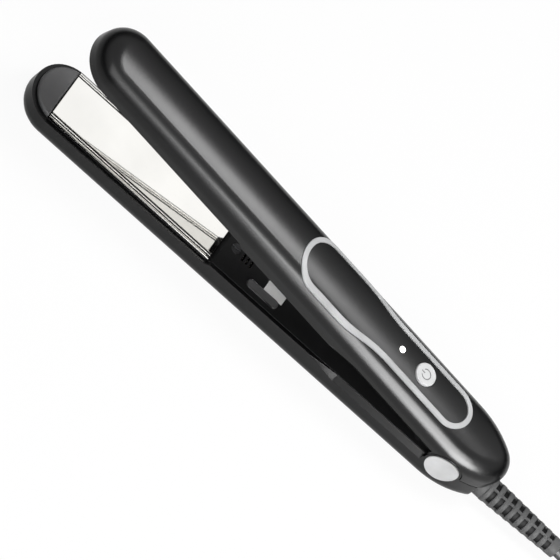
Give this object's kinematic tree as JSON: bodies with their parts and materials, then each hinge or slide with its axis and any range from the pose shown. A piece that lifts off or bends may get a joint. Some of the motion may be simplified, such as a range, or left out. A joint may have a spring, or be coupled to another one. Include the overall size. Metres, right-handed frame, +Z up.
{
  "type": "hair straightener",
  "caption": "Slim hair straightener: hinged arms sprung open, flat mirror plates near the tips, teardrop control panel, round hinge caps, ribbed swivel cord guard, cord in a tied hank.",
  "frame": {"origin": "centre of the straightener's bounding box at table level, cord nodes left out", "axes": "+X runs from the tips to the hinge and the cord, +Z is up, the lower arm lies on the table"},
  "size_m": [0.4712, 0.0559, 0.0712],
  "materials": {
    "satin_black": "satin",
    "matte_black": "matte",
    "plate_metal": "mirror polished",
    "silver_trim": "silver paint",
    "steel": "plain",
    "brass": "polished",
    "ceramic": "fired",
    "silicone": "matte",
    "label_white": "plain",
    "lens_clear": "clear",
    "board_green": "lacquered",
    "component_dark": "moulded",
    "lead_insulation": "smooth",
    "nylon": "moulded",
    "cord_black": "smooth"
  },
  "bodies": {
    "lower_arm": {"lower_shell": "satin_black", "lower_frame": "matte_black", "lower_screws": "steel", "blank_label": "label_white", "lower_cushions": "silicone", "lower_heat_shield": "ceramic", "lower_leads": "lead_insulation", "hinge_pin": "steel", "hinge_cap_near": "silver_trim", "hinge_cap_far": "silver_trim", "hinge_spring": "steel", "swivel_bush": "nylon", "swivel_cover": "matte_black", "power_cord": "cord_black", "cord_hank": "cord_black", "cord_tie": "nylon", "plug_body": "cord_black", "plug_pins": "brass"},
    "lower_hot_plate": {"lower_plate": "plate_metal", "lower_heater": "ceramic", "lower_heater_clip": "steel", "thermal_fuse": "component_dark"},
    "upper_arm": {"upper_shell": "satin_black", "upper_frame": "matte_black", "trim_ring": "silver_trim", "control_panel": "matte_black", "indicator_lens": "lens_clear", "hinge_bushes": "brass", "circuit_board": "board_green", "board_screws": "steel", "tact_switch": "component_dark", "button_boot": "silicone", "indicator_lamp": "lens_clear", "capacitor": "component_dark", "board_fuse": "component_dark", "triac": "component_dark", "upper_cushions": "silicone", "upper_heat_shield": "ceramic", "upper_screws": "steel", "upper_leads": "lead_insulation", "mains_leads": "lead_insulation"},
    "upper_hot_plate": {"upper_plate": "plate_metal", "upper_heater": "ceramic", "upper_heater_clip": "steel", "heat_sensor": "component_dark"},
    "button": {"power_button": "silver_trim"},
    "swivel": {"cord_guard": "cord_black"}
  },
  "joints": [
    {"name": "arm_hinge", "type": "hinge", "parent": "lower_arm", "child": "upper_arm", "pos_m": [0.0884, 0, 0.0162], "axis": [0, 1, 0], "range_deg": [-9.7, 0], "stiffness_Nm_per_rad": 2, "springref_deg": 8.02, "deforming": ["hinge_spring", "mains_leads"]},
    {"name": "lower_plate_float", "type": "slide", "parent": "lower_arm", "child": "lower_hot_plate", "axis": [0, 0, -1], "range_m": [0, 0.001], "stiffness_N_per_m": 4000, "springref_m": -0.001, "deforming": ["lower_cushions"]},
    {"name": "upper_plate_float", "type": "slide", "parent": "upper_arm", "child": "upper_hot_plate", "axis": [0.1685, 0, 0.9857], "range_m": [0, 0.001], "stiffness_N_per_m": 4000, "springref_m": -0.001, "deforming": ["upper_cushions"]},
    {"name": "power_button_press", "type": "slide", "parent": "upper_arm", "child": "button", "axis": [-0.1685, 0, -0.9857], "range_m": [0, 0.0006], "stiffness_N_per_m": 1500, "springref_m": -0.0004, "deforming": ["button_boot"]},
    {"name": "cord_swivel", "type": "hinge", "parent": "lower_arm", "child": "swivel", "pos_m": [0.11, 0, 0.007], "axis": [1, 0, 0], "continuous": true}
  ]
}
